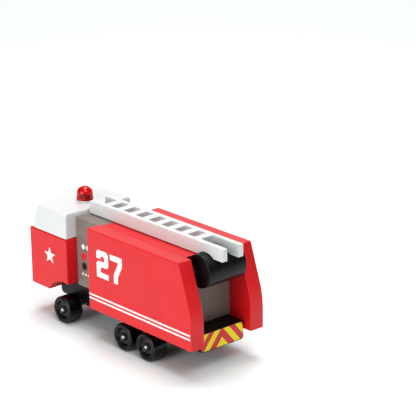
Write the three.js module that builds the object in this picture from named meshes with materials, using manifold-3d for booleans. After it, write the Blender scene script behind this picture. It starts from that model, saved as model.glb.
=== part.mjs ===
// A wooden toy fire engine: boards and blocks glued and dowelled together, a lifting ladder on
// a roller at the tail, a beacon on the cab and three wheelsets on steel axles.
// Millimetres. +X is forward, +Y the vehicle's left, +Z up. The origin is on the floor, under
// the middle of the overall length and width.

import * as THREE from 'three';
import { mergeVertices } from 'three/addons/utils/BufferGeometryUtils.js';
import Module from 'manifold-3d';

const wasm = await Module();
wasm.setup();

// ---- Overall sizes ----
const overallLength = 156; // cab front to the ladder's tail
const bodyWidth = 54.2; // over the side panels, and over the wheels
const glueGap = 0.1; // between glued flat faces
const fitGap = 0.15; // round a dowel, screw or pressed axle, on the radius
const runGap = 0.3; // round anything that turns
const endGap = 0.4; // past the end of a dowel in a blind hole

// ---- Wheels and axles ----
const wheelRadius = 8.25;
const wheelWidth = 10.3;
const wheelTopGap = 1.35; // from the wheels' tops up to the side panels
const wheelSideGap = 0.6; // from the wheels' inner faces to the chassis
const tyreThickness = 2.25;
const tyreShoulder = 1.1;
const axleRadius = 1;
const capLip = 0.2; // cap past the axle, on the radius
const capHeight = 0.8;
const hubDish = 1.3; // depth of the dish in the hub's outer face
const bossWall = 0.9;
const frontAxleSetback = 31.7; // from the cab's front
const rearAxleInset = 40.8; // rearmost axle, from the panels' rear edge
const rearAxleSpacing = 20.6;

// ---- Chassis ----
const chassisHeight = 11.15;
const chassisDrop = 5.4; // how far it shows below the side panels
const chassisSideGap = 1.3; // to the side panels' inner faces
const chassisArchGap = 0.3;
const chassisNose = 17.8; // from the cab's front back to the chassis nose
const chassisNoseRadius = 7;
const chassisNoseUndercut = 4; // radius under the nose
const chassisRearInset = 5; // from the panels' rear edge
const chassisEdgeRadius = 2;
const axleBlockWidth = 11;
const axleBlockWall = 2.25; // wood under the axle's bore
const frontBlockLength = 20;
const rearBlockEnd = 9.7; // block past each rear axle

// ---- Cab ----
const cabLength = 36.2;
const cabInset = 2.1; // cab's side in from the panel's face
const cabDrop = 0.5; // cab below the side panels' lower edges
const cabLowerHeight = 36.05;
const cabUpperHeight = 15.9;
const cabLedge = 1.5; // lower cab in front of the windscreen's foot
const windscreenLean = 21.5; // degrees from upright
const windscreenCornerRadius = 3.2;
const roofEdgeRadius = 1.8;
const archGap = 8.85; // from the front wheels to the arch

// ---- Body ----
const pumpBay = 23.3; // pump block showing between the cab and the panels
const ladderOverhang = 5; // ladder's tail past the panels
const panelThickness = 9.6;
const panelHeight = 49.75;
const panelRake = 0.33; // how far the rear edge leans forward for each unit of height
const panelUpright = 12.15; // height of the rear edge's upright part
const panelBend = 15; // height of the bend above it
const deckSink = 1.15; // deck below the panels' tops
const bayDepth = 17.3; // rear bay, from the panels' rear edge to its back wall
const deckThickness = 3;
const deckOverhang = 1;

// ---- Ladder and roller ----
const rollerRadius = 9.75;
const rollerSideGap = 3.6; // to the side panels' inner faces, on average
const rollerShift = 0.7; // roller nearer the right panel
const rollerInset = 9.4; // roller's axis, from the panels' rear edge
const rollerBite = 2.15; // how far the roller goes up into the ladder
const coveGap = 0.5;
const pivotRodRadius = 1.5;
const pivotRodSeat = 5; // how far the rod goes into each panel
const ladderWidth = 15.1;
const ladderHeight = 7.6;
const ladderRest = 0.55; // above the deck
const ladderCabGap = 1.3;
const railWidth = 3.2;
const rungWidth = 5.4;
const rungPitch = 11.43;
const frontForkLength = 11.2;
const tailForkLength = 21.8; // at least this much open at the tail
const railCornerRadius = 0.7;
const bradRadius = 0.7;

// ---- Beacon ----
const beaconRadius = 5.15; // at the lens's foot
const beaconTaper = 0.3; // narrower at the shoulder, on the radius
const beaconHeight = 8.2;
const beaconWall = 1.2;
const beaconSeatHeight = 1.1; // seat showing under the lens
const beaconSeatInset = 0.3;
const beaconSpigotHeight = 1.2; // seat's middle up inside the lens
const beaconSetback = 23.2; // from the cab's front
const beaconPegRadius = 1.5;
const beaconPegLength = 5;

// ---- Dowels and screws ----
const dowelRadius = 3;
const dowelLength = 12;
const cabDowelLength = 20;
const screwRadius = 1.2;
const screwHeadRadius = 2.3;
const screwHeadDepth = 1.5;
const blockScrewLength = 15;
const chassisScrewLength = 20;

// ---- Places worked out from the sizes ----
const frontX = overallLength / 2;
const cabRearX = frontX - cabLength;
const panelFrontX = cabRearX - pumpBay;
const tailX = -overallLength / 2;
const panelRearX = tailX + ladderOverhang;
const panelOuterY = bodyWidth / 2;
const panelInnerY = panelOuterY - panelThickness;
const coreHalfWidth = panelInnerY - glueGap;
const cabWidth = bodyWidth - 2 * cabInset;
const wheelInnerY = panelOuterY - wheelWidth;
const chassisWidth = 2 * Math.min(panelInnerY - chassisSideGap, wheelInnerY - wheelSideGap);
const bayWallX = panelRearX + bayDepth;

const axleZ = wheelRadius;
const rimRadius = wheelRadius - tyreThickness; // where the tyre sits on the hub
const capRadius = axleRadius + capLip;
const bossRadius = capRadius + bossWall;
const panelBottom = 2 * wheelRadius + wheelTopGap;
const panelTop = panelBottom + panelHeight;
const deckTop = panelTop - deckSink;
const chassisBottom = panelBottom - chassisDrop;
const chassisTop = chassisBottom + chassisHeight;
const axleBlockBottom = axleZ - axleRadius - runGap - axleBlockWall;
const cabBottom = panelBottom - cabDrop;
const cabWaist = cabBottom + cabLowerHeight; // where the upper cab sits on the lower
const cabTop = cabWaist + cabUpperHeight;
const archRadius = wheelRadius + archGap;

const chassisFrontX = frontX - chassisNose;
const chassisRearX = panelRearX + chassisRearInset;
const frontAxleX = frontX - frontAxleSetback;
const rearAxleX = panelRearX + rearAxleInset;
const middleAxleX = rearAxleX + rearAxleSpacing;
const rearBlockX = (rearAxleX + middleAxleX) / 2;
const rearBlockLength = rearAxleSpacing + 2 * rearBlockEnd;

const ladderBottom = deckTop + ladderRest;
const ladderTop = ladderBottom + ladderHeight;
const ladderFrontX = cabRearX - ladderCabGap;
const firstRungX = ladderFrontX - frontForkLength;
const rungSpan = firstRungX - tailX - tailForkLength - rungWidth;
const rungCount = 1 + Math.floor(rungSpan / rungPitch);
const rollerX = panelRearX + rollerInset;
const rollerHeight = ladderBottom + rollerBite - rollerRadius;
const rollerLength = 2 * (panelInnerY - rollerSideGap);
const beaconX = frontX - beaconSetback;
const capBase = panelOuterY - capHeight - 0.1; // the cap's dome stays just inside the tyre's face

const group = new THREE.Group();

// ---- Colours and finishes ----
const finishes = {
  redPaint: { color: 0xe02a30, roughness: 0.45, metalness: 0 },
  whitePaint: { color: 0xf4f4f2, roughness: 0.4, metalness: 0 },
  greyPaint: { color: 0x8a827c, roughness: 0.5, metalness: 0 },
  blackPaint: { color: 0x1c1c1d, roughness: 0.45, metalness: 0 },
  blackTyre: { color: 0x141415, roughness: 0.6, metalness: 0 },
  blackPlastic: { color: 0x1a1a1b, roughness: 0.35, metalness: 0 },
  redLens: { color: 0xd01810, roughness: 0.08, metalness: 0, transparent: true, opacity: 0.75 },
  beech: { color: 0xd9b98a, roughness: 0.7, metalness: 0 },
  steel: { color: 0xb8bbc0, roughness: 0.25, metalness: 1 },
};

// ---- Helpers ----

// Merges shared vertices, drops collapsed triangles and turns the faces outwards.
function welded(geometry) {
  const bare = geometry.clone();
  bare.deleteAttribute('normal');
  bare.deleteAttribute('uv');
  const merged = mergeVertices(bare, 1e-4);
  const index = [];
  const place = merged.getAttribute('position');
  const corner = [new THREE.Vector3(), new THREE.Vector3(), new THREE.Vector3()];
  let volume = 0;
  for (let i = 0; i < merged.index.count; i += 3) {
    const [a, b, c] = [0, 1, 2].map((k) => merged.index.getX(i + k));
    if (a === b || b === c || c === a) continue;
    index.push(a, b, c);
    [a, b, c].forEach((vertex, k) => corner[k].fromBufferAttribute(place, vertex));
    volume += corner[0].dot(corner[1].cross(corner[2]));
  }
  merged.setIndex(volume < 0 ? index.reverse() : index);
  return merged;
}

function toSolid(geometry) {
  const closed = welded(geometry);
  return new wasm.Manifold(new wasm.Mesh({
    numProp: 3,
    vertProperties: new Float32Array(closed.getAttribute('position').array),
    triVerts: new Uint32Array(closed.index.array),
  }));
}

function toGeometry(solid) {
  const mesh = solid.getMesh();
  const geometry = new THREE.BufferGeometry();
  geometry.setAttribute('position', new THREE.BufferAttribute(new Float32Array(mesh.vertProperties), 3));
  geometry.setIndex(new THREE.BufferAttribute(new Uint32Array(mesh.triVerts), 1));
  return geometry;
}

function cutAway(geometry, tools) {
  const result = tools.reduce((solid, tool) => solid.subtract(toSolid(tool)), toSolid(geometry));
  return toGeometry(result);
}

function common(first, second) {
  return toGeometry(toSolid(first).intersect(toSolid(second)));
}

function block(minX, maxX, minY, maxY, minZ, maxZ) {
  const box = new THREE.BoxGeometry(maxX - minX, maxY - minY, maxZ - minZ);
  return box.translate((minX + maxX) / 2, (minY + maxY) / 2, (minZ + maxZ) / 2);
}

// A side outline, drawn in X and Z, made solid from minY to maxY.
function fromSide(outline, minY, maxY) {
  const settings = { depth: maxY - minY, bevelEnabled: false, curveSegments: 12 };
  const solid = new THREE.ExtrudeGeometry(outline, settings);
  return solid.rotateX(Math.PI / 2).translate(0, maxY, 0);
}

// An end outline, drawn in Y and Z, made solid from minX to maxX.
function fromEnd(outline, minX, maxX) {
  const settings = { depth: maxX - minX, bevelEnabled: false, curveSegments: 6 };
  const solid = new THREE.ExtrudeGeometry(outline, settings);
  const turn = new THREE.Matrix4().makeBasis(
    new THREE.Vector3(0, 1, 0),
    new THREE.Vector3(0, 0, 1),
    new THREE.Vector3(1, 0, 0),
  );
  return solid.applyMatrix4(turn).translate(minX, 0, 0);
}

// A round bar centred at a point, along 'x', 'y' or 'z'.
function bar(radius, length, along, x, y, z, sides = 24) {
  const solid = new THREE.CylinderGeometry(radius, radius, length, sides);
  if (along === 'x') solid.rotateZ(Math.PI / 2);
  if (along === 'z') solid.rotateX(Math.PI / 2);
  return solid.translate(x, y, z);
}

function addPiece(name, geometry, finish) {
  const mesh = new THREE.Mesh(welded(geometry), new THREE.MeshStandardMaterial(finishes[finish]));
  mesh.name = name;
  group.add(mesh);
  return mesh;
}

// ---- Dowels and screws: each knows its own piece and the hole that it needs ----

function dowel(name, along, x, y, z, length = dowelLength) {
  return {
    name,
    piece: bar(dowelRadius, length, along, x, y, z, 16),
    hole: bar(dowelRadius + fitGap, length + 2 * endGap, along, x, y, z, 16),
  };
}

// A countersunk screw driven upwards, its head flush with the face at z.
function screwShape(radius, headRadius, length, x, z) {
  const profile = [
    new THREE.Vector2(0, 0),
    new THREE.Vector2(headRadius, 0),
    new THREE.Vector2(radius, screwHeadDepth),
    new THREE.Vector2(radius, length),
    new THREE.Vector2(0, length),
  ];
  return new THREE.LatheGeometry(profile, 16).rotateX(Math.PI / 2).translate(x, 0, z);
}

function screw(name, length, x, z) {
  return {
    name,
    piece: screwShape(screwRadius, screwHeadRadius, length, x, z),
    hole: screwShape(screwRadius + fitGap, screwHeadRadius + fitGap, length + endGap, x, z - 0.01),
  };
}

const cabDowelZ = (chassisTop + cabWaist) / 2;
const cabDowels = [-1, 1].map((side) => dowel(
  side < 0 ? 'cab_dowel_right' : 'cab_dowel_left',
  'x', cabRearX, side * coreHalfWidth / 2, cabDowelZ, cabDowelLength,
));

const roofDowels = [-1, 1].map((side) => dowel(
  side < 0 ? 'roof_dowel_right' : 'roof_dowel_left',
  'z', (cabRearX + beaconX) / 2, side * cabWidth / 3, cabWaist,
));

const panelDowelZ = (chassisTop + rollerHeight) / 2;
const panelDowelPlaces = { front: panelFrontX - 12, rear: bayWallX + 16 };

function panelDowels(sideName, side) {
  return Object.entries(panelDowelPlaces).map(([place, x]) => dowel(
    `panel_dowel_${sideName}_${place}`, 'y', x, side * panelInnerY, panelDowelZ,
  ));
}

const sides = { left: 1, right: -1 };
const dowelsOfPanel = { left: panelDowels('left', 1), right: panelDowels('right', -1) };

const blockScrews = [
  screw('front_block_screw_front', blockScrewLength, frontAxleX + frontBlockLength / 3, axleBlockBottom),
  screw('front_block_screw_rear', blockScrewLength, frontAxleX - frontBlockLength / 3, axleBlockBottom),
  screw('rear_block_screw_front', blockScrewLength, rearBlockX + rearAxleSpacing / 5, axleBlockBottom),
  screw('rear_block_screw_rear', blockScrewLength, rearBlockX - rearAxleSpacing / 5, axleBlockBottom),
];

const chassisScrews = [
  screw('chassis_screw_front', chassisScrewLength, panelFrontX, chassisBottom),
  screw('chassis_screw_rear', chassisScrewLength, bayWallX + 8, chassisBottom),
];

const holesOf = (parts) => parts.map((part) => part.hole);

// ---- Chassis ----

function makeChassisBoard() {
  const top = chassisTop - glueGap;
  const side = new THREE.Shape();
  side.moveTo(chassisRearX, chassisBottom);
  const under = chassisNoseUndercut;
  const over = chassisNoseRadius;
  side.lineTo(chassisFrontX - under, chassisBottom);
  side.absarc(chassisFrontX - under, chassisBottom + under, under, -Math.PI / 2, 0);
  side.absarc(chassisFrontX - over, top - over, over, 0, Math.PI / 2);
  side.lineTo(chassisRearX, top);
  side.closePath();

  const half = chassisWidth / 2;
  const low = chassisBottom + chassisEdgeRadius;
  const end = new THREE.Shape();
  end.moveTo(-half, top);
  end.lineTo(-half, low);
  end.absarc(-half + chassisEdgeRadius, low, chassisEdgeRadius, Math.PI, 1.5 * Math.PI);
  end.absarc(half - chassisEdgeRadius, low, chassisEdgeRadius, 1.5 * Math.PI, 2 * Math.PI);
  end.lineTo(half, top);
  end.closePath();

  // Under the cab the board stays inside the arch.
  const underCab = block(cabRearX - chassisArchGap, frontX, -cabWidth, cabWidth, 0, cabWaist);
  const arch = bar(archRadius - chassisArchGap, 4 * cabWidth, 'y', frontAxleX, 0, axleZ, 96);
  const board = common(fromSide(side, -half, half), fromEnd(end, chassisRearX, chassisFrontX));
  const cuts = [cutAway(underCab, [arch]), ...holesOf([...blockScrews, ...chassisScrews])];
  addPiece('chassis_board', cutAway(board, cuts), 'blackPaint');
}

function makeAxleBlock(name, x, length, axleXs) {
  const half = axleBlockWidth / 2;
  const body = block(x - length / 2, x + length / 2, -half, half, axleBlockBottom, chassisBottom - glueGap);
  const bores = axleXs.map((axleX) => bar(axleRadius + runGap, axleBlockWidth + 2, 'y', axleX, 0, axleZ));
  addPiece(name, cutAway(body, [...bores, ...holesOf(blockScrews)]), 'blackPaint');
}

// ---- Wheelsets: tyres and hubs pressed on a steel axle, with a domed cap at each end ----

// Profiles are drawn as radius and distance out from the wheel's inner face.
function tyreProfile() {
  const s = tyreShoulder;
  const bore = rimRadius + glueGap;
  return [
    new THREE.Vector2(bore, 0.2),
    new THREE.Vector2(wheelRadius - s, 0),
    new THREE.Vector2(wheelRadius - 0.3 * s, 0.3 * s),
    new THREE.Vector2(wheelRadius, s),
    new THREE.Vector2(wheelRadius, wheelWidth - s),
    new THREE.Vector2(wheelRadius - 0.3 * s, wheelWidth - 0.3 * s),
    new THREE.Vector2(wheelRadius - s, wheelWidth),
    new THREE.Vector2(bore, wheelWidth - 0.2),
    new THREE.Vector2(bore, 0.2),
  ];
}

function hubProfile() {
  const bore = axleRadius + fitGap;
  const face = capBase - wheelInnerY - 0.1;
  return [
    new THREE.Vector2(bore, 0.4),
    new THREE.Vector2(rimRadius, 0.4),
    new THREE.Vector2(rimRadius, wheelWidth - 0.4),
    new THREE.Vector2(rimRadius - 0.7, wheelWidth - 0.4),
    new THREE.Vector2(rimRadius - 1.4, wheelWidth - 0.4 - hubDish),
    new THREE.Vector2(bossRadius, wheelWidth - 0.4 - hubDish),
    new THREE.Vector2(bossRadius - 0.3, face),
    new THREE.Vector2(bore, face),
    new THREE.Vector2(bore, 0.4),
  ];
}

function capProfile() {
  const profile = [new THREE.Vector2(0, 0)];
  for (let step = 0; step <= 4; step += 1) {
    const turn = (step / 4) * (Math.PI / 2);
    profile.push(new THREE.Vector2(capRadius * Math.cos(turn), capHeight * Math.sin(turn)));
  }
  return profile;
}

// Lathes turn about Y, which is the axle's direction. The right-hand pieces are turned about Z.
function onAxle(profile, sides, side, x, distanceOut) {
  const solid = new THREE.LatheGeometry(profile, sides);
  if (side < 0) solid.rotateZ(Math.PI);
  return solid.translate(x, side * distanceOut, axleZ);
}

function makeWheelset(place, x) {
  addPiece(`axle_${place}`, bar(axleRadius, 2 * (capBase - 0.1), 'y', x, 0, axleZ, 20), 'steel');
  for (const [sideName, side] of Object.entries(sides)) {
    addPiece(`tyre_${place}_${sideName}`, onAxle(tyreProfile(), 36, side, x, wheelInnerY), 'blackTyre');
    addPiece(`hub_${place}_${sideName}`, onAxle(hubProfile(), 24, side, x, wheelInnerY), 'blackPlastic');
    addPiece(`axle_cap_${place}_${sideName}`, onAxle(capProfile(), 16, side, x, capBase), 'steel');
  }
}

// ---- Cab ----

function makeCabLower() {
  const archStart = Math.asin((cabBottom - axleZ) / archRadius);
  const archEnd = Math.PI - Math.acos((frontAxleX - cabRearX) / archRadius);
  const side = new THREE.Shape();
  side.moveTo(frontAxleX + archRadius * Math.cos(archStart), cabBottom);
  side.lineTo(frontX, cabBottom);
  side.lineTo(frontX, cabWaist - glueGap);
  side.lineTo(cabRearX + glueGap, cabWaist - glueGap);
  side.absarc(frontAxleX, axleZ, archRadius, archEnd, archStart, true);
  side.closePath();
  const body = fromSide(side, -cabWidth / 2, cabWidth / 2);
  const trimmed = common(body, block(cabRearX + glueGap, frontX, -cabWidth, cabWidth, 0, cabWaist));
  addPiece('cab_lower', cutAway(trimmed, holesOf([...cabDowels, ...roofDowels])), 'redPaint');
}

// The upper cab is a plan outline with round front corners, sheared back to the windscreen's
// lean, then rounded along the roof's side edges.
function makeCabUpper() {
  const footX = frontX - cabLedge;
  const half = cabWidth / 2;
  const r = windscreenCornerRadius;
  const plan = new THREE.Shape();
  plan.moveTo(cabRearX - cabUpperHeight, -half);
  plan.lineTo(footX - r, -half);
  plan.absarc(footX - r, -half + r, r, -Math.PI / 2, 0);
  plan.absarc(footX - r, half - r, r, 0, Math.PI / 2);
  plan.lineTo(cabRearX - cabUpperHeight, half);
  plan.closePath();
  const lean = Math.tan(THREE.MathUtils.degToRad(windscreenLean));
  const shear = new THREE.Matrix4().makeShear(0, 0, 0, 0, -lean, 0);
  const settings = { depth: cabUpperHeight, bevelEnabled: false, curveSegments: 6 };
  const raked = new THREE.ExtrudeGeometry(plan, settings);
  raked.applyMatrix4(shear).translate(0, 0, cabWaist);

  const e = roofEdgeRadius;
  const end = new THREE.Shape();
  end.moveTo(-half, cabWaist);
  end.lineTo(half, cabWaist);
  end.absarc(half - e, cabTop - e, e, 0, Math.PI / 2);
  end.absarc(-half + e, cabTop - e, e, Math.PI / 2, Math.PI);
  end.closePath();

  const body = common(raked, fromEnd(end, cabRearX + glueGap, footX));
  const pegDepth = beaconPegLength + endGap;
  const pegHole = bar(beaconPegRadius + fitGap, 2 * pegDepth, 'z', beaconX, 0, cabTop, 16);
  addPiece('cab_upper', cutAway(body, [pegHole, ...holesOf(roofDowels)]), 'whitePaint');
}

// ---- Pump block, roof deck and side panels ----

function rollerCove() {
  return bar(rollerRadius + coveGap, 2 * panelOuterY, 'y', rollerX, 0, rollerHeight, 64);
}

function makePumpBlock() {
  const body = block(bayWallX, cabRearX, -coreHalfWidth, coreHalfWidth, chassisTop, deckTop);
  const seatX = bayWallX - deckOverhang;
  const seatZ = deckTop - deckThickness - glueGap;
  const deckSeat = block(seatX, panelFrontX, -panelOuterY, panelOuterY, seatZ, panelTop);
  const fixings = [...cabDowels, ...dowelsOfPanel.left, ...dowelsOfPanel.right, ...chassisScrews];
  addPiece('pump_block', cutAway(body, [rollerCove(), deckSeat, ...holesOf(fixings)]), 'greyPaint');
}

function makeRoofDeck() {
  const rearX = bayWallX - deckOverhang;
  const bottom = deckTop - deckThickness;
  const board = block(rearX, panelFrontX - glueGap, -coreHalfWidth, coreHalfWidth, bottom, deckTop);
  addPiece('roof_deck', cutAway(board, [rollerCove()]), 'redPaint');
}

// The rear edge rises upright, bends over an arc and then leans forward in a straight line.
function panelOutline() {
  const bendLow = panelBottom + panelUpright;
  const bendHigh = bendLow + panelBend;
  const bendMiddle = (bendLow + bendHigh) / 2;
  const leanAt = (z) => panelRearX + (z - bendMiddle) * panelRake;
  const outline = new THREE.Shape();
  outline.moveTo(panelRearX, panelBottom);
  outline.lineTo(panelFrontX, panelBottom);
  outline.lineTo(panelFrontX, panelTop);
  outline.lineTo(leanAt(panelTop), panelTop);
  outline.lineTo(leanAt(bendHigh), bendHigh);
  outline.quadraticCurveTo(panelRearX, bendMiddle, panelRearX, bendLow);
  outline.closePath();
  return outline;
}

function makeSidePanel(sideName, side) {
  const [minY, maxY] = [side * panelInnerY, side * panelOuterY].sort((a, b) => a - b);
  const reach = panelInnerY + pivotRodSeat + endGap;
  const rodSeat = bar(pivotRodRadius + fitGap, 2 * reach, 'y', rollerX, 0, rollerHeight, 20);
  const board = fromSide(panelOutline(), minY, maxY);
  const cuts = [rodSeat, ...holesOf(dowelsOfPanel[sideName])];
  addPiece(`side_panel_${sideName}`, cutAway(board, cuts), 'redPaint');
}

// ---- Ladder, roller and pivot rod ----

const ladderHalf = ladderWidth / 2;
const gapHalf = ladderHalf - railWidth;

// Two small brads hold the rails to the roller, from half way up the rail to above the rod's bore.
function brad(sideName, side) {
  const rollerTop = rollerHeight + rollerRadius;
  const top = (rollerTop + ladderTop) / 2;
  const bottom = (rollerTop + rollerHeight + pivotRodRadius) / 2;
  const y = side * (ladderHalf - railWidth / 2);
  const z = (top + bottom) / 2;
  return {
    name: `ladder_brad_${sideName}`,
    piece: bar(bradRadius, top - bottom, 'z', rollerX, y, z, 12),
    hole: bar(bradRadius + fitGap, top - bottom + 2 * endGap, 'z', rollerX, y, z, 12),
  };
}

const brads = Object.entries(sides).map(([sideName, side]) => brad(sideName, side));

// A rectangular opening between the rails, from one X to another.
function railOpening(fromX, toX) {
  return block(fromX, toX, -gapHalf, gapHalf, ladderBottom - 1, ladderTop + 1);
}

function makeLadder() {
  const r = railCornerRadius;
  const side = new THREE.Shape();
  side.moveTo(tailX + r, ladderBottom);
  side.lineTo(ladderFrontX - r, ladderBottom);
  side.absarc(ladderFrontX - r, ladderBottom + r, r, -Math.PI / 2, 0);
  side.absarc(ladderFrontX - r, ladderTop - r, r, 0, Math.PI / 2);
  side.absarc(tailX + r, ladderTop - r, r, Math.PI / 2, Math.PI);
  side.absarc(tailX + r, ladderBottom + r, r, Math.PI, 1.5 * Math.PI);
  side.closePath();

  const openings = [railOpening(firstRungX, ladderFrontX + 1)];
  for (let rung = 0; rung < rungCount; rung += 1) {
    const rungRearX = firstRungX - rung * rungPitch - rungWidth;
    const isLast = rung === rungCount - 1;
    openings.push(railOpening(isLast ? tailX - 1 : rungRearX - (rungPitch - rungWidth), rungRearX));
  }
  const notch = bar(rollerRadius + runGap, ladderWidth + 2, 'y', rollerX, 0, rollerHeight, 64);
  const blank = fromSide(side, -ladderHalf, ladderHalf);
  addPiece('ladder', cutAway(blank, [...openings, notch, ...holesOf(brads)]), 'whitePaint');
}

function makeRoller() {
  const body = bar(rollerRadius, rollerLength, 'y', rollerX, -rollerShift, rollerHeight, 48);
  const bore = bar(pivotRodRadius + runGap, 2 * panelOuterY, 'y', rollerX, 0, rollerHeight, 20);
  addPiece('ladder_roller', cutAway(body, [bore, ...holesOf(brads)]), 'blackPaint');
}

function makePivotRod() {
  const length = 2 * (panelInnerY + pivotRodSeat);
  const rod = bar(pivotRodRadius, length, 'y', rollerX, 0, rollerHeight, 20);
  addPiece('roller_pivot_rod', rod, 'blackPaint');
}

// ---- Beacon: a hollow lens on a round seat with a peg in the roof ----

function upright(profile, sides, x, z) {
  return new THREE.LatheGeometry(profile, sides).rotateX(Math.PI / 2).translate(x, 0, z);
}

function domePoints(radius, height, straight, steps) {
  const points = [];
  for (let step = 0; step <= steps; step += 1) {
    const turn = (step / steps) * (Math.PI / 2);
    const up = straight + (height - straight) * Math.sin(turn);
    points.push(new THREE.Vector2(radius * Math.cos(turn), up));
  }
  return points;
}

function makeBeacon() {
  const straight = 0.5 * beaconHeight;
  const inner = beaconRadius - beaconTaper - beaconWall;
  const lens = [
    new THREE.Vector2(inner, 0),
    new THREE.Vector2(beaconRadius, 0),
    ...domePoints(beaconRadius - beaconTaper, beaconHeight, straight, 7),
    ...domePoints(inner, beaconHeight - beaconWall, straight, 5).reverse(),
    new THREE.Vector2(inner, 0),
  ];
  const seatRadius = beaconRadius - beaconSeatInset;
  const spigot = inner - fitGap;
  const spigotTop = beaconSeatHeight + beaconSpigotHeight;
  const base = [
    new THREE.Vector2(0, -beaconPegLength),
    new THREE.Vector2(beaconPegRadius, -beaconPegLength),
    new THREE.Vector2(beaconPegRadius, glueGap),
    new THREE.Vector2(seatRadius, glueGap),
    new THREE.Vector2(seatRadius, beaconSeatHeight),
    new THREE.Vector2(spigot, beaconSeatHeight),
    new THREE.Vector2(spigot, spigotTop),
    new THREE.Vector2(0, spigotTop),
  ];
  addPiece('beacon_lens', upright(lens, 28, beaconX, cabTop + beaconSeatHeight + glueGap), 'redLens');
  addPiece('beacon_base', upright(base, 28, beaconX, cabTop), 'whitePaint');
}

// ---- Assembly ----

makeChassisBoard();
makeAxleBlock('front_axle_block', frontAxleX, frontBlockLength, [frontAxleX]);
makeAxleBlock('rear_axle_block', rearBlockX, rearBlockLength, [rearAxleX, middleAxleX]);
makeWheelset('front', frontAxleX);
makeWheelset('middle', middleAxleX);
makeWheelset('rear', rearAxleX);
makeCabLower();
makeCabUpper();
makePumpBlock();
makeRoofDeck();
makeSidePanel('left', 1);
makeSidePanel('right', -1);
makeRoller();
makePivotRod();
makeLadder();
makeBeacon();

for (const part of [...cabDowels, ...roofDowels, ...dowelsOfPanel.left, ...dowelsOfPanel.right]) {
  addPiece(part.name, part.piece, 'beech');
}
for (const part of [...blockScrews, ...chassisScrews, ...brads]) {
  addPiece(part.name, part.piece, 'steel');
}

export default group;
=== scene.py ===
from math import acos, asin, cos, pi, radians, sin, sqrt, tan

import bmesh
import bpy
from mathutils import Matrix, Vector


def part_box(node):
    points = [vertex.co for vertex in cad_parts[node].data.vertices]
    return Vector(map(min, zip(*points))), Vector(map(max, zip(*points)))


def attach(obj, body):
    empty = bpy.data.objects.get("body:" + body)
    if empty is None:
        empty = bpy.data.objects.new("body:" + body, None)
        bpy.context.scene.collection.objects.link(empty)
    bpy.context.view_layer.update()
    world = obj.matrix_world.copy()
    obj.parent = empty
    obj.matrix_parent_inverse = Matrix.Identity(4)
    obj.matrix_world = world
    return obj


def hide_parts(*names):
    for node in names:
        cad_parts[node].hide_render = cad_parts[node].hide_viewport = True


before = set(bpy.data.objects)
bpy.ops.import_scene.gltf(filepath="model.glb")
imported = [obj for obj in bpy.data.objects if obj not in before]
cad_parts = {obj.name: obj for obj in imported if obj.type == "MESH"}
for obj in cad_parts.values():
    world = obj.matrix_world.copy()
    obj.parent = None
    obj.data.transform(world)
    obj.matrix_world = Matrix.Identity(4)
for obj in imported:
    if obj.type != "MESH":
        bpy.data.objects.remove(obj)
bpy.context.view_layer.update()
mm = 0.001
sides = {"left": 1, "right": -1}
print("frame loaded")


# places come from the frame, in millimetres

def sizeOf(node):
    low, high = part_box(node)
    return [value / mm for value in low], [value / mm for value in high]


def middleOf(node):
    low, high = sizeOf(node)
    return [(a + b) / 2 for a, b in zip(low, high)]


# materials

def nodeTree(name):
    material = bpy.data.materials.new(name)
    material.use_nodes = True
    tree = material.node_tree
    tree.nodes.clear()
    output = tree.nodes.new("ShaderNodeOutputMaterial")
    shader = tree.nodes.new("ShaderNodeBsdfPrincipled")
    tree.links.new(shader.outputs[0], output.inputs["Surface"])
    return material, tree, shader


def feed(tree, socket, value):
    if isinstance(value, bpy.types.NodeSocket):
        tree.links.new(value, socket)
    else:
        socket.default_value = value


def addNode(tree, kind, inputs=None, **settings):
    node = tree.nodes.new("ShaderNode" + kind)
    for key, value in settings.items():
        setattr(node, key, value)
    for key, value in (inputs or {}).items():
        feed(tree, node.inputs[key], value)
    return node


def noise(tree, place, scale, detail=3.0, stretch=(1, 1, 1)):
    moved = addNode(tree, "Mapping", {"Vector": place, "Scale": stretch})
    return addNode(tree, "TexNoise", {"Vector": moved.outputs[0], "Scale": scale, "Detail": detail}).outputs["Fac"]


def ramp(tree, value, low, high, fromLow=0.3, fromHigh=0.7):
    limits = {"Value": value, "From Min": fromLow, "From Max": fromHigh, "To Min": low, "To Max": high}
    return addNode(tree, "MapRange", limits).outputs["Result"]


def mixed(tree, amount, first, second):
    # sockets 0, 6 and 7 are a colour mix's factor and its two colours
    node = addNode(tree, "Mix", {0: amount, 6: first, 7: second}, data_type="RGBA")
    return node.outputs[2]


def product(tree, first, second):
    return addNode(tree, "Math", {0: first, 1: second}, operation="MULTIPLY").outputs[0]


def shade(colour, factor):
    return tuple(min(1.0, part * factor) for part in colour) + (1.0,)


def edgeMask(tree, radius, reach):
    # 0 on the flats, 1 along the rounded edges
    rounded = addNode(tree, "Bevel", {"Radius": radius * mm}, samples=4)
    flat = addNode(tree, "NewGeometry")
    facing = addNode(
        tree, "VectorMath", {0: rounded.outputs[0], 1: flat.outputs["Normal"]}, operation="DOT_PRODUCT")
    return ramp(tree, facing.outputs["Value"], 1.0, 0.0, 1.0 - reach, 1.0)


def finish(tree, shader, colour, roughness, height=None, strength=0, depth=0):
    # depth is how far the bumps stand out, in millimetres
    tree.links.new(colour, shader.inputs["Base Color"])
    tree.links.new(roughness, shader.inputs["Roughness"])
    if height is not None:
        bump = addNode(tree, "Bump", {"Height": height, "Strength": strength, "Distance": depth * mm})
        tree.links.new(bump.outputs[0], shader.inputs["Normal"])


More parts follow.
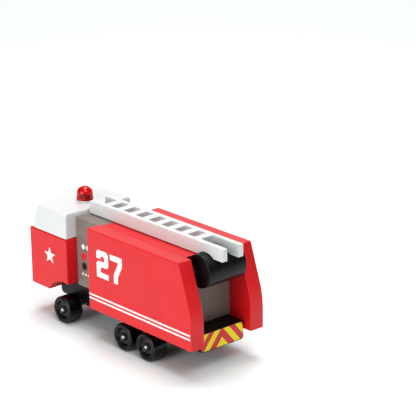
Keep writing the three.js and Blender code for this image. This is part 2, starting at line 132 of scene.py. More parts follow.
def paintedWood(name, look):
    material, tree, shader = nodeTree(name)
    place = addNode(tree, "TexCoord").outputs["Object"]
    base = look["colour"]
    mottle = noise(tree, place, look["mottleScale"], 3)
    pores = noise(tree, place, look["poreScale"], 2, (0.05, 1, 1))
    peel = noise(tree, place, look["peelScale"], 1)
    body = mixed(tree, ramp(tree, mottle, 0, 1), shade(base, 1 - look["mottle"]), shade(base, 1 + look["mottle"]))
    grained = mixed(tree, ramp(tree, pores, 0, look["grain"], 0.42, 0.62), body, shade(base, look["poreShade"]))
    # the rounded edges turn a lighter tone in patches: partly paint worn thin, partly a painted highlight along
    # the edges
    wearAndHighlightPatches = ramp(tree, noise(tree, place, look["edgePatchScale"], 4), 0, look["wearAndHighlight"])
    wornAndHighlightedEdges = product(tree, edgeMask(tree, look["edgeWidth"], look["edgeReach"]), wearAndHighlightPatches)
    gloss = ramp(tree, noise(tree, place, look["glossScale"], 4), *look["roughness"])
    height = addNode(tree, "Math", {0: pores, 1: peel}, operation="ADD").outputs[0]
    colour = mixed(tree, wornAndHighlightedEdges, grained, look["edgeWearAndHighlightColour"] + (1,))
    finish(tree, shader, colour, gloss, height, look["bump"], 0.02)
    shader.inputs["Specular IOR Level"].default_value = look["shine"]
    shader.inputs["Coat Weight"].default_value = look["coat"]
    shader.inputs["Coat Roughness"].default_value = look["coatRoughness"]
    shader.inputs["Sheen Weight"].default_value = look["sheen"]
    shader.inputs["Sheen Roughness"].default_value = look["sheenRoughness"]
    return material


def mouldedPlastic(name, look):
    material, tree, shader = nodeTree(name)
    place = addNode(tree, "TexCoord").outputs["Object"]
    base = look["colour"]
    dust = ramp(tree, noise(tree, place, look["dustScale"], 5), 0, look["dust"], 0.5, 0.8)
    rubbed = product(tree, edgeMask(tree, look["edgeWidth"], look["edgeReach"]), look["rub"])
    dusty = mixed(tree, dust, shade(base, 1), shade(look["dustColour"], 1))
    gloss = ramp(tree, noise(tree, place, look["glossScale"], 3), *look["roughness"])
    grit = noise(tree, place, look["gritScale"], 2)
    colour = mixed(tree, rubbed, dusty, shade(look["dustColour"], 0.8))
    finish(tree, shader, colour, gloss, grit, look["bump"], 0.01)
    return material


def clearPlastic(name, look):
    material, tree, shader = nodeTree(name)
    place = addNode(tree, "TexCoord").outputs["Object"]
    base = look["colour"]
    cloud = ramp(tree, noise(tree, place, look["cloudScale"], 3), 0, 1)
    gloss = ramp(tree, noise(tree, place, look["glossScale"], 4), *look["roughness"])
    finish(tree, shader, mixed(tree, cloud, shade(base, 0.9), shade(base, 1.1)), gloss)
    shader.inputs["Transmission Weight"].default_value = look["transmission"]
    shader.inputs["IOR"].default_value = look["bending"]
    return material


def platedSteel(name, look):
    material, tree, shader = nodeTree(name)
    place = addNode(tree, "TexCoord").outputs["Object"]
    base = look["colour"]
    scratch = noise(tree, place, look["scratchScale"], 3, (1, 0.05, 1))
    tint = ramp(tree, noise(tree, place, look["tintScale"], 4), 0, 1)
    colour = mixed(tree, tint, shade(base, 0.85), shade(base, 1.05))
    finish(tree, shader, colour, ramp(tree, scratch, *look["roughness"]), scratch, look["bump"], 0.005)
    shader.inputs["Metallic"].default_value = 1.0
    return material


def bareBeech(name, look):
    material, tree, shader = nodeTree(name)
    place = addNode(tree, "TexCoord").outputs["Object"]
    base = look["colour"]
    grain = noise(tree, place, look["grainScale"], 4, look["along"])
    flecks = noise(tree, place, look["fleckScale"], 2, look["along"])
    body = mixed(tree, ramp(tree, grain, 0, 1), shade(base, 0.78), shade(base, 1.08))
    colour = mixed(tree, ramp(tree, flecks, 0, 0.5, 0.55, 0.7), body, shade(base, 0.6))
    finish(tree, shader, colour, ramp(tree, grain, *look["roughness"]), grain, look["bump"], 0.03)
    return material


def printedInk(name, look):
    material, tree, shader = nodeTree(name)
    place = addNode(tree, "TexCoord").outputs["Object"]
    base = look["colour"]
    thin = ramp(tree, noise(tree, place, look["patchScale"], 4), 0, look["thin"], 0.5, 0.75)
    gloss = ramp(tree, noise(tree, place, look["glossScale"], 3), *look["roughness"])
    colour = mixed(tree, thin, shade(base, 1), look["under"] + (1,))
    finish(tree, shader, colour, gloss, thin, look["bump"], 0.01)
    return material


# each look's scales are per metre, and its widths are in millimetres
paintLook = {"mottle": 0.03, "mottleScale": 45, "grain": 0.14, "poreScale": 1500, "poreShade": 0.82,
             "peelScale": 2600, "bump": 0.25, "wearAndHighlight": 0.3, "edgePatchScale": 260, "edgeWidth": 0.35, "edgeReach": 0.25,
             "roughness": (0.40, 0.52), "glossScale": 120, "shine": 0.5, "coat": 0.12, "coatRoughness": 0.25,
             "sheen": 0.14, "sheenRoughness": 0.35}
# each paint's edge colour is a lighter tone of it, a painted highlight along the rounded edges as well as wear
redPaint = paintedWood("redPaint", {**paintLook, "colour": (0.72, 0.007, 0.013), "edgeWearAndHighlightColour": (0.86, 0.07, 0.07)})
whitePaint = paintedWood("whitePaint", {**paintLook, "colour": (0.725, 0.735, 0.73),
                                        "edgeWearAndHighlightColour": (0.90, 0.89, 0.87), "mottle": 0.012, "grain": 0.05})
greyPaint = paintedWood("greyPaint", {**paintLook, "colour": (0.235, 0.20, 0.175),
                                      "edgeWearAndHighlightColour": (0.36, 0.32, 0.28), "mottle": 0.07, "grain": 0.35})
blackPaint = paintedWood("blackPaint", {**paintLook, "colour": (0.006, 0.006, 0.0065),
                                        "edgeWearAndHighlightColour": (0.03, 0.03, 0.03), "roughness": (0.3, 0.42),
                                        "shine": 0.3, "coat": 0.0, "sheen": 0.0})

plasticLook = {"colour": (0.004, 0.004, 0.0045), "dustScale": 420, "rub": 0.3, "edgeWidth": 0.25, "edgeReach": 0.3,
               "glossScale": 300, "gritScale": 4200}
blackTyre = mouldedPlastic("blackTyre", {**plasticLook, "dustColour": (0.08, 0.078, 0.075), "dust": 0.06,
                                         "roughness": (0.2, 0.32), "bump": 0.12})
blackPlastic = mouldedPlastic("blackPlastic", {**plasticLook, "dustColour": (0.08, 0.08, 0.08), "dust": 0.05,
                                               "roughness": (0.12, 0.22), "bump": 0.08})
redLens = clearPlastic("redLens", {"colour": (0.93, 0.03, 0.010), "cloudScale": 200, "roughness": (0.03, 0.07),
                                   "glossScale": 500, "transmission": 0.88, "bending": 1.49})
steel = platedSteel("platedSteel", {"colour": (0.66, 0.67, 0.69), "tintScale": 350, "roughness": (0.16, 0.3),
                                    "scratchScale": 3000, "bump": 0.15})

beechLook = {"colour": (0.60, 0.40, 0.22), "grainScale": 900, "fleckScale": 3000, "roughness": (0.6, 0.8),
             "bump": 0.3}
beechAcross = bareBeech("beechAcross", {**beechLook, "along": (1, 0.06, 1)})
beechLengthwise = bareBeech("beechLengthwise", {**beechLook, "along": (0.06, 1, 1)})
beechUpright = bareBeech("beechUpright", {**beechLook, "along": (1, 1, 0.06)})

inkLook = {"thin": 0.25, "patchScale": 1400, "roughness": (0.35, 0.5), "glossScale": 400, "bump": 0.1}
whiteInk = printedInk("whiteInk", {**inkLook, "colour": (0.88, 0.87, 0.86), "under": (0.85, 0.5, 0.5)})
yellowInk = printedInk("yellowInk", {**inkLook, "colour": (0.87, 0.72, 0.002), "under": (0.80, 0.55, 0.01),
                                     "thin": 0.3})
redInk = printedInk("redInk", {**inkLook, "colour": (0.62, 0.030, 0.040), "under": (0.5, 0.05, 0.05)})
dialRedInk = printedInk("dialRedInk", {**inkLook, "colour": (0.80, 0.015, 0.02), "under": (0.5, 0.06, 0.05)})
blackInk = printedInk("blackInk", {**inkLook, "colour": (0.005, 0.004, 0.004), "under": (0.06, 0.05, 0.05)})
print("materials made")


# ways of making a piece

def fromMesh(name, shape, material, smoothAngle=35):
    bmesh.ops.remove_doubles(shape, verts=shape.verts, dist=1e-7)
    bmesh.ops.recalc_face_normals(shape, faces=shape.faces)
    mesh = bpy.data.meshes.new(name)
    shape.to_mesh(mesh)
    shape.free()
    for face in mesh.polygons:
        face.use_smooth = True
    mesh.set_sharp_from_angle(angle=radians(smoothAngle))
    mesh.materials.append(material)
    piece = bpy.data.objects.new(name, mesh)
    bpy.context.scene.collection.objects.link(piece)
    return piece


def softenEdges(piece, width, angle=38):
    bevel = piece.modifiers.new("softEdges", "BEVEL")
    bevel.width = width * mm
    bevel.segments = 3
    bevel.limit_method = "ANGLE"
    bevel.angle_limit = radians(angle)
    bevel.use_clamp_overlap = True
    weighted = piece.modifiers.new("evenShading", "WEIGHTED_NORMAL")
    weighted.keep_sharp = True


def settle(piece, body, slotName, *nodes):
    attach(piece, body)
    if nodes:
        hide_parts(*nodes)
    return piece


def loft(name, sections, material):
    # sections are rings of points in millimetres, all with the same count
    shape = bmesh.new()
    rings = [[shape.verts.new([part * mm for part in point]) for point in section] for section in sections]
    count = len(rings[0])
    for ring, following in zip(rings, rings[1:]):
        for i in range(count):
            j = (i + 1) % count
            shape.faces.new((ring[i], ring[j], following[j], following[i]))
    shape.faces.new(list(reversed(rings[0])))
    shape.faces.new(rings[-1])
    return fromMesh(name, shape, material)


def fromSide(name, outline, lowY, highY, material):
    return loft(name, [[(x, y, z) for x, z in outline] for y in (lowY, highY)], material)


def turned(name, profile, centre, axis, material, steps=72, flutes=None, smoothAngle=35):
    # profile is (radius, distance along the axis), closed unless it starts and ends on the axis
    shape = bmesh.new()
    closed = profile[0][0] > 0

    def frameOf(radius, angle, along):
        across, up = radius * cos(angle), radius * sin(angle)
        return (across, along, up) if axis == "y" else (across, up, along)

    rings = []
    for index, (radius, along) in enumerate(profile):
        if radius < 1e-6:
            rings.append([shape.verts.new([(c + p) * mm for c, p in zip(centre, frameOf(0, 0, along))])])
            continue
        ring = []
        for step in range(steps):
            angle = 2 * pi * step / steps
            wave = flutes(index, angle) if flutes else 0
            point = frameOf(radius + wave, angle, along)
            ring.append(shape.verts.new([(c + p) * mm for c, p in zip(centre, point)]))
        rings.append(ring)
    pairs = list(zip(rings, rings[1:])) + ([(rings[-1], rings[0])] if closed else [])
    for ring, following in pairs:
        for step in range(steps):
            after = (step + 1) % steps
            if len(ring) == 1:
                shape.faces.new((ring[0], following[after], following[step]))
            elif len(following) == 1:
                shape.faces.new((ring[step], ring[after], following[0]))
            else:
                shape.faces.new((ring[step], ring[after], following[after], following[step]))
    return fromMesh(name, shape, material, smoothAngle)


def arc(centreX, centreZ, radius, start, end, steps):
    turns = [start + (end - start) * step / steps for step in range(steps + 1)]
    return [(centreX + radius * cos(turn), centreZ + radius * sin(turn)) for turn in turns]


def quarter(steps):
    # angles from 0 to a quarter turn, both included
    return [pi / 2 * step / steps for step in range(steps + 1)]


def rodProfile(low, high, radius, chamfer=0.2):
    return [(0, low), (radius - chamfer, low), (radius, low + chamfer), (radius, high - chamfer),
            (radius - chamfer, high), (0, high)]


cab = {"archRadius": 17.1, "archSteps": 28, "softEdge": 0.6, "lean": 21.5, "corner": 3.2, "leastCorner": 0.6,
       "cornerSteps": 7, "sideRows": 6, "roofEdge": 1.8, "roofRows": 7, "rearEdge": 0.9}
chassis = {"overNose": 7, "underNose": 4, "archGap": 0.3, "edgeRadius": 2, "edgeRows": 6, "sideRows": 14,
           "softEdge": 0.45}


def noseAt(z, low, high):
    # the nose's front edge at height z, rounded above and below and kept inside the wheel arch
    over, under = chassis["overNose"], chassis["underNose"]
    x = high[0]
    if z < low[2] + under:
        x = high[0] - under + sqrt(max(0, under ** 2 - (low[2] + under - z) ** 2))
    if z > high[2] - over:
        x = high[0] - over + sqrt(max(0, over ** 2 - (z - high[2] + over) ** 2))
    axle = middleOf("axle_front")
    arch = cab["archRadius"] - chassis["archGap"]
    return min(x, axle[0] + sqrt(max(0, arch ** 2 - (z - axle[2]) ** 2)))


def makeChassisBoard():
    low, high = sizeOf("chassis_board")
    half, edge = high[1], chassis["edgeRadius"]
    count = chassis["sideRows"]
    rows = [(low[2] + edge * (1 - cos(turn)), edge * (1 - sin(turn))) for turn in quarter(chassis["edgeRows"])]
    rows += [(low[2] + edge + (high[2] - low[2] - edge) * step / count, 0) for step in range(1, count + 1)]
    sections = []
    for z, inset in rows:
        y = half - inset
        nose = noseAt(z, low, high)
        sections.append([(low[0], -y, z), (nose, -y, z), (nose, y, z), (low[0], y, z)])
    board = loft("chassisBoard", sections, blackPaint)
    softenEdges(board, chassis["softEdge"], 50)
    settle(board, "vehicle", "black_paint", "chassis_board")
    for node in ("front_axle_block", "rear_axle_block"):
        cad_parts[node].data.materials[0] = blackPaint


makeChassisBoard()
print("chassis made")


wheel = {"tread": 8.25, "shoulder": 1.25, "shoulderSteps": 6, "rim": 6.05, "bead": 0.28, "steps": 96}
hub = {"gap": 0.06, "inset": 0.4, "dish": 1.9, "boss": 2.15, "bossRise": 1.0, "steps": 72}
rodSteps = 48
capSteps = 40
capRows = 8


def tyreProfile(width):
    tread, shoulder, rim = wheel["tread"], wheel["shoulder"], wheel["rim"]
    outer = [(tread - shoulder + shoulder * sin(turn), width - shoulder + shoulder * cos(turn))
             for turn in quarter(wheel["shoulderSteps"])]
    inner = [(radius, width - along) for radius, along in outer]
    # a raised ring stands round the rim, then the face falls back to the shoulder
    face = [(rim, width - 0.25), (rim + 0.12, width - 0.1), (rim + 0.45, width - 0.1),
            (rim + 0.6, width - wheel["bead"]), (tread - shoulder - 0.25, width - wheel["bead"] * 0.8)]
    back = [(radius, width - along) for radius, along in face]
    return face + outer + list(reversed(inner)) + list(reversed(back))


def hubProfile(width, bore):
    rim = wheel["rim"] - hub["gap"]
    back = hub["inset"]
    top = width - hub["inset"]
    dishFloor = top - hub["dish"]
    boss, bossTop = hub["boss"], dishFloor + hub["bossRise"]
    outside = [(bore, back), (rim - 0.3, back), (rim, back + 0.3), (rim, top - 0.15), (rim - 0.15, top)]
    dish = [(rim - 0.45, top), (rim - 0.62, top - 0.2), (rim - 0.95, dishFloor + 0.75),
            (rim - 1.35, dishFloor + 0.25), (rim - 1.8, dishFloor), (boss + 0.5, dishFloor)]
    middle = [(boss + 0.12, dishFloor + 0.12), (boss - 0.05, dishFloor + 0.4), (boss - 0.2, bossTop - 0.15),
              (boss - 0.45, bossTop), (bore, bossTop)]
    return outside + dish + middle


def capProfile(radius, height):
    dome = [(radius * cos(turn), height * (0.3 + 0.7 * sin(turn))) for turn in quarter(capRows)[:-1]]
    return [(0, 0), (radius, 0)] + dome + [(0, height)]


def makeWheelset(place):
    body = f"{place}_wheelset"
    centre = middleOf(f"axle_{place}")
    rodLow, rodHigh = sizeOf(f"axle_{place}")
    halfRod = rodHigh[1]
    rodRadius = (rodHigh[2] - rodLow[2]) / 2
    rod = turned(f"{place}Axle", rodProfile(-halfRod, halfRod, rodRadius), centre, "y", steel, rodSteps)
    settle(rod, body, "steel", f"axle_{place}")
    for sideName, side in sides.items():
        tyreLow, tyreHigh = sizeOf(f"tyre_{place}_{sideName}")
        width = tyreHigh[1] - tyreLow[1]
        innerFace = min(abs(tyreLow[1]), abs(tyreHigh[1]))
        start = (centre[0], side * innerFace, centre[2])
        label = f"{place}{sideName.capitalize()}"

        def outward(profile):
            return [(radius, side * along) for radius, along in profile]

        tyre = turned(label + "Tyre", outward(tyreProfile(width)), start, "y", blackTyre, wheel["steps"])
        settle(tyre, body, "tyre_black", f"tyre_{place}_{sideName}")
        hubShape = outward(hubProfile(width, rodRadius + 0.1))
        settle(turned(label + "Hub", hubShape, start, "y", blackPlastic, hub["steps"]), body, "hub_black",
               f"hub_{place}_{sideName}")
        capNode = f"axle_cap_{place}_{sideName}"
        capLow, capHigh = sizeOf(capNode)
        capStart = (centre[0], side * min(abs(capLow[1]), abs(capHigh[1])), centre[2])
        dome = capProfile((capHigh[0] - capLow[0]) / 2, capHigh[1] - capLow[1])
        cap = turned(label + "Cap", outward(dome), capStart, "y", steel, capSteps)
        settle(cap, body, "steel", capNode)


for place in ("front", "middle", "rear"):
    makeWheelset(place)
print("wheels made")


def makeCabLower():
    low, high = sizeOf("cab_lower")
    axle = middleOf("axle_front")
    radius = cab["archRadius"]
    start = asin((low[2] - axle[2]) / radius)
    end = pi - acos((axle[0] - low[0]) / radius)
    outline = [(high[0], low[2]), (high[0], high[2]), (low[0], high[2])]
    outline += list(reversed(arc(axle[0], axle[2], radius, start, end, cab["archSteps"])))
    lower = fromSide("cabLower", outline, low[1], high[1], redPaint)
    softenEdges(lower, cab["softEdge"])
    settle(lower, "vehicle", "red_paint", "cab_lower")


def cabRing(rear, front, half, corner, z, insetFront, insetSide, insetRear):
    corner = max(cab["leastCorner"], corner - insetFront)
    front -= insetFront
    half -= insetSide
    rear += insetRear
    ring = [(rear, -half)]
    ring += arc(front - corner, -half + corner, corner, -pi / 2, 0, cab["cornerSteps"])
    ring += arc(front - corner, half - corner, corner, 0, pi / 2, cab["cornerSteps"])
    ring += [(rear, half)]
    return [(x, y, z) for x, y in ring]


def makeCabUpper():
    low, high = sizeOf("cab_upper")
    lean = tan(radians(cab["lean"]))
    edge = cab["roofEdge"]
    half = high[1]
    rows = cab["sideRows"]
    levels = [(low[2] + (high[2] - low[2] - edge) * step / rows, 0) for step in range(rows + 1)]
    for turn in quarter(cab["roofRows"])[1:]:
        levels.append((high[2] - edge + edge * sin(turn), edge * (1 - cos(turn))))
    sections = []
    for z, inset in levels:
        front = high[0] - (z - low[2]) * lean
        # the roof's edge is rounded most at the sides and least at the rear
        sections.append(cabRing(low[0], front, half, cab["corner"], z, inset * 0.8, inset, inset * 0.45))
    upper = loft("cabUpper", sections, whitePaint)
    softenEdges(upper, cab["rearEdge"], 50)
    settle(upper, "vehicle", "white_paint", "cab_upper")


makeCabLower()
makeCabUpper()
print("cab made")


beacon = {"wall": 1.15, "straight": 0.5, "taper": 0.3, "domeSteps": 14, "lensSteps": 160,
          "ribs": 20, "ribDepth": 0.22, "ribTop": 0.42,
          "seatHeight": 1.1, "pegLength": 5, "pegRadius": 1.5, "seatSteps": 72,
          "coreLow": 1.25, "coreHigh": 2.2, "coreSteps": 60}


def makeBeacon():
    low, high = sizeOf("beacon_lens")
    centre = (middleOf("beacon_lens")[0], 0, low[2])
    height = high[2] - low[2]
    foot = (high[0] - low[0]) / 2
    radius = foot - beacon["taper"]
    straight = height * beacon["straight"]
    inner = radius - beacon["wall"]
    innerTop = height - beacon["wall"]
    turns = quarter(beacon["domeSteps"])[:-1]
    dome = [(radius * cos(t), straight + (height - straight) * sin(t)) for t in turns]
    hollow = [(inner * cos(t), straight + (innerTop - straight) * sin(t)) for t in turns]
    wallRows = [(foot - 0.14, 0), (foot, 0.14)]
    wallRows += [(foot - beacon["taper"] * t, straight * t) for t in (0.12, 0.3, 0.5, 0.7, 0.85)]
    ribTop = height * beacon["ribTop"]
    innerRows = [(inner, ribTop), (inner, ribTop - 0.25), (inner, 0.3), (inner, 0)]
    profile = wallRows + dome + [(0.02, height), (0.02, innerTop)] + list(reversed(hollow)) + innerRows
    ribbed = len(profile) - 3

    def rib(index, angle):
        # ribs stand inside the lower wall
        return -beacon["ribDepth"] * max(0, cos(beacon["ribs"] * angle)) if index >= ribbed else 0

    lens = turned("beaconLens", profile, centre, "z", redLens, beacon["lensSteps"], rib, 50)
    settle(lens, "vehicle", "lens_red", "beacon_lens")

    baseLow, baseHigh = sizeOf("beacon_base")
    foot = (baseHigh[0] - baseLow[0]) / 2
    spigot = inner - 0.35
    step = beacon["seatHeight"]
    peg, pegRadius = beacon["pegLength"], beacon["pegRadius"]
    top = baseHigh[2] - baseLow[2] - peg
    seatProfile = [(0, -peg), (pegRadius - 0.2, -peg), (pegRadius, -peg + 0.2), (pegRadius, 0.1)]
    seatProfile += [(foot - 0.1, 0.1), (foot, 0.2), (foot, step - 0.25), (foot - 0.07, step - 0.07),
                    (foot - 0.25, step)]
    seatProfile += [(spigot, step), (spigot, top - 0.3), (spigot - 0.3, top), (0, top)]
    roof = sizeOf("cab_upper")[1][2]
    seat = turned("beaconBase", seatProfile, (centre[0], 0, roof), "z", whitePaint, beacon["seatSteps"])
    settle(seat, "vehicle", "white_paint", "beacon_base")
    # the black core inside the lens's lower part is painted shade: a dark piece that darkens the bottom of the
    # lens
    core, coreLow, coreHigh = spigot - 0.15, beacon["coreLow"], beacon["coreHigh"]
    coreProfile = [(0, coreLow), (core - 0.2, coreLow), (core, coreLow + 0.15), (core, coreHigh - 0.4),
                   (core - 0.4, coreHigh - 0.2), (0.9, coreHigh - 0.1), (0.8, coreHigh), (0, coreHigh)]
    shadeCore = turned("beaconShadeCore", coreProfile, (centre[0], 0, low[2]), "z", blackPlastic, beacon["coreSteps"])
    settle(shadeCore, "vehicle", "hub_black")


makeBeacon()
print("beacon made")


body = {"rake": 0.33, "upright": 12.15, "bend": 15, "bendSteps": 12, "panelEdge": 0.5, "blockEdge": 0.45,
        "deckEdge": 0.35, "deckGap": 0.1, "coveGap": 0.5, "coveSteps": 14, "deckCoveSteps": 5}


def panelOutline(low, high):
    bendLow = low[2] + body["upright"]
    bendHigh = bendLow + body["bend"]
    middle = (bendLow + bendHigh) / 2
    rear = low[0]

    def leanAt(z):
        return rear + (z - middle) * body["rake"]

    outline = [(rear, low[2]), (high[0], low[2]), (high[0], high[2]), (leanAt(high[2]), high[2])]
    first, turn, last = (leanAt(bendHigh), bendHigh), (rear, middle), (rear, bendLow)
    for step in range(body["bendSteps"] + 1):
        t = step / body["bendSteps"]
        points = zip(first, turn, last)
        outline.append(tuple(a * (1 - t) ** 2 + 2 * b * t * (1 - t) + c * t * t for a, b, c in points))
    return outline


def makeSidePanels():
    for sideName in sides:
        low, high = sizeOf(f"side_panel_{sideName}")
        panel = fromSide(f"sidePanel{sideName.capitalize()}", panelOutline(low, high), low[1], high[1], redPaint)
        softenEdges(panel, body["panelEdge"])
        settle(panel, "vehicle", "red_paint", f"side_panel_{sideName}")


def rollerShape():
    low, high = sizeOf("ladder_roller")
    return (low[0] + high[0]) / 2, (low[2] + high[2]) / 2, (high[0] - low[0]) / 2


def makePumpBlock():
    low, high = sizeOf("pump_block")
    deckLow = sizeOf("roof_deck")[0]
    panelFront = sizeOf("side_panel_left")[1][0]
    rollerX, rollerZ, rollerRadius = rollerShape()
    cove = rollerRadius + body["coveGap"]
    step = deckLow[2] - body["deckGap"]
    wall = low[0]
    start = asin((step - rollerZ) / cove)
    # the cove only shows where it bites past the back wall
    end = -acos((wall - rollerX) / cove)
    outline = [(wall, low[2]), (high[0], low[2]), (high[0], high[2]), (panelFront, high[2]), (panelFront, step)]
    outline += arc(rollerX, rollerZ, cove, start, end, body["coveSteps"])
    block = fromSide("pumpBlock", outline, low[1], high[1], greyPaint)
    softenEdges(block, body["blockEdge"])
    settle(block, "vehicle", "grey_paint", "pump_block")


def makeRoofDeck():
    low, high = sizeOf("roof_deck")
    rollerX, rollerZ, rollerRadius = rollerShape()
    cove = rollerRadius + body["coveGap"]
    start = asin((high[2] - rollerZ) / cove)
    end = asin((low[2] - rollerZ) / cove)
    outline = [(high[0], low[2]), (high[0], high[2])]
    outline += arc(rollerX, rollerZ, cove, start, end, body["deckCoveSteps"])
    deck = fromSide("roofDeck", outline, low[1], high[1], redPaint)
    softenEdges(deck, body["deckEdge"])
    settle(deck, "vehicle", "red_paint", "roof_deck")


makeSidePanels()
makePumpBlock()
makeRoofDeck()
print("body made")


ladder = {"rail": 3.2, "rung": 5.4, "pitch": 11.43, "rungs": 8, "frontFork": 11.2, "corner": 0.7, "cornerSteps": 5,
          "notchGap": 0.3, "notchSteps": 16, "leastStep": 0.02, "softEdge": 0.35}
roller = {"rim": 0.7, "rimSteps": 4, "bore": 1.8, "steps": 96, "rodSteps": 40}


def makeLadder():
    low, high = sizeOf("ladder")
    rollerX, rollerZ, rollerRadius = rollerShape()
    notch = rollerRadius + ladder["notchGap"]
    reach = sqrt(notch ** 2 - (low[2] - rollerZ) ** 2)
    corner = ladder["corner"]

    def endDrop(x):
        # how far the round end corners come in at x
        inside = min(x - low[0], high[0] - x)
        return corner - sqrt(max(0, corner ** 2 - (corner - inside) ** 2)) if inside < corner else 0

    def bottomAt(x):
        if abs(x - rollerX) < reach:
            return max(low[2], rollerZ + sqrt(notch ** 2 - (x - rollerX) ** 2))
        return low[2] + endDrop(x)

    firstRung = high[0] - ladder["frontFork"]
    rungs = [(firstRung - i * ladder["pitch"] - ladder["rung"], firstRung - i * ladder["pitch"])
             for i in range(ladder["rungs"])]
    lines = {low[0], high[0]} | {edge for rung in rungs for edge in rung}
    for turn in quarter(ladder["cornerSteps"])[1:]:
        inside = corner * (1 - cos(turn))
        lines |= {low[0] + inside, high[0] - inside}
    for step in range(ladder["notchSteps"] + 1):
        lines.add(rollerX - reach * cos(pi * step / ladder["notchSteps"]))
    xs = sorted(lines)
    xs = [x for i, x in enumerate(xs) if i == 0 or x - xs[i - 1] > ladder["leastStep"]]
    ys = [low[1], low[1] + ladder["rail"], high[1] - ladder["rail"], high[1]]

    def filled(i, j):
        if not (0 <= i < len(xs) - 1 and 0 <= j < 3):
            return False
        middle = (xs[i] + xs[i + 1]) / 2
        return j != 1 or any(rear < middle < front for rear, front in rungs)

    shape = bmesh.new()
    cache = {}

    def vertAt(i, j, top):
        key = (i, j, top)
        if key not in cache:
            z = high[2] - endDrop(xs[i]) if top else bottomAt(xs[i])
            cache[key] = shape.verts.new((xs[i] * mm, ys[j] * mm, z * mm))
        return cache[key]

    for i in range(len(xs) - 1):
        for j in range(3):
            if not filled(i, j):
                continue
            around = [(i, j), (i + 1, j), (i + 1, j + 1), (i, j + 1)]
            shape.faces.new([vertAt(a, b, True) for a, b in around])
            shape.faces.new([vertAt(a, b, False) for a, b in reversed(around)])
            neighbours = [(i, j - 1), (i + 1, j), (i, j + 1), (i - 1, j)]
            for k, (ni, nj) in enumerate(neighbours):
                if not filled(ni, nj):
                    a, b = around[k], around[(k + 1) % 4]
                    shape.faces.new((vertAt(*a, False), vertAt(*b, False), vertAt(*b, True), vertAt(*a, True)))
    piece = fromMesh("ladder", shape, whitePaint)
    softenEdges(piece, ladder["softEdge"], 50)
    settle(piece, "ladder_unit", "white_paint", "ladder")


def makeRoller():
    low, high = sizeOf("ladder_roller")
    rollerX, rollerZ, radius = rollerShape()
    half, middle = (high[1] - low[1]) / 2, (high[1] + low[1]) / 2
    rim = roller["rim"]
    end = [(radius - rim + rim * sin(turn), half - rim + rim * cos(turn)) for turn in quarter(roller["rimSteps"])]
    start = [(r, -along) for r, along in reversed(end)]
    profile = [(roller["bore"], -half), (roller["bore"], half)] + end + start
    piece = turned("ladderRoller", profile, (rollerX, middle, rollerZ), "y", blackPaint, roller["steps"])
    settle(piece, "ladder_unit", "black_paint", "ladder_roller")
    rodLow, rodHigh = sizeOf("roller_pivot_rod")
    rod = rodProfile(rodLow[1], rodHigh[1], (rodHigh[2] - rodLow[2]) / 2)
    piece = turned("rollerRod", rod, (rollerX, 0, rollerZ), "y", blackPaint, roller["rodSteps"])
    settle(piece, "vehicle", "black_paint", "roller_pivot_rod")


makeLadder()
makeRoller()
print("ladder made")


# a dowel's grain runs along it, and its name says which way it lies
dowelGrain = {"cab": beechLengthwise, "roof": beechUpright}

for name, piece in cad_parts.items():
    if "_dowel_" in name:
        piece.data.materials[0] = dowelGrain.get(name.split("_")[0], beechAcross)
    if "_screw_" in name or "_brad_" in name:
        piece.data.materials[0] = steel
print("fastenings dressed")


ink = {"thick": 0.03, "sink": 0.02}
number = {"first": 10.1, "width": 11.0, "gap": 1.6, "low": 40.1, "height": 16.9, "gridWidth": 11, "gridHeight": 17}
stripe = {"heights": (27.3, 24.95), "thick": 1.15, "rearMargin": 0.9}
star = {"x": 58.75, "z": 39.4, "outer": 5.6, "inner": 2.35, "points": 5}
dialSteps = 40
dials = [
    # name, ink, slot, radius, height, places along the block
    ("whiteDials", whiteInk, "white_paint", 1.6, 49.2, (35.2, 30.9, 26.6)),
    ("redDials", dialRedInk, "red_paint", 2.35, 43.2, (34.6, 27.6)),
    ("blackDial", blackInk, "black_paint", 2.3, 36.95, (34.6,)),
    ("smallDials", whiteInk, "white_paint", 0.85, 31.85, (36.3, 33.55, 30.8, 28.05, 25.3)),
]
chevron = {"steep": 1.2, "bands": ((13.2, 18.2), (24.2, 29.6), (34.7, 39.9)), "inset": 0.4, "cornerSteps": 6}

# block figures on the number's grid
figureTwo = [(0, 0), (11, 0), (11, 3.4), (3.8, 3.4), (3.8, 5.6), (5, 6.8), (9.4, 6.8), (11, 8.4), (11, 15.4),
             (9.4, 17), (1.6, 17), (0, 15.4), (0, 11.6), (3.8, 11.6), (3.8, 12.6), (4.6, 13.4), (6.4, 13.4),
             (7.2, 12.6), (7.2, 10.8), (6.6, 10.2), (1.6, 10.2), (0, 8.6)]
figureSeven = [(3.2, 0), (7, 0), (7, 4.5), (11, 11.5), (11, 17), (0, 17), (0, 13.4), (7.2, 13.4), (7.2, 12.4),
               (3.2, 5.2)]


def plates(name, outlines, place, material, slotName):
    # thin inked shapes; place turns an outline's point and a height off the surface into a point in space
    shape = bmesh.new()
    for outline in outlines:
        lower = [shape.verts.new([part * mm for part in place(u, v, -ink["sink"])]) for u, v in outline]
        upper = [shape.verts.new([part * mm for part in place(u, v, ink["thick"])]) for u, v in outline]
        shape.faces.new(upper)
        shape.faces.new(list(reversed(lower)))
        for i in range(len(outline)):
            j = (i + 1) % len(outline)
            shape.faces.new((lower[i], lower[j], upper[j], upper[i]))
    settle(fromMesh(name, shape, material), "vehicle", slotName)


def onSide(face, side):
    return lambda x, z, off: (x, side * (face + off), z)


def dot(x, z, radius):
    turns = [2 * pi * step / dialSteps for step in range(dialSteps)]
    return [(x + radius * cos(turn), z + radius * sin(turn)) for turn in turns]


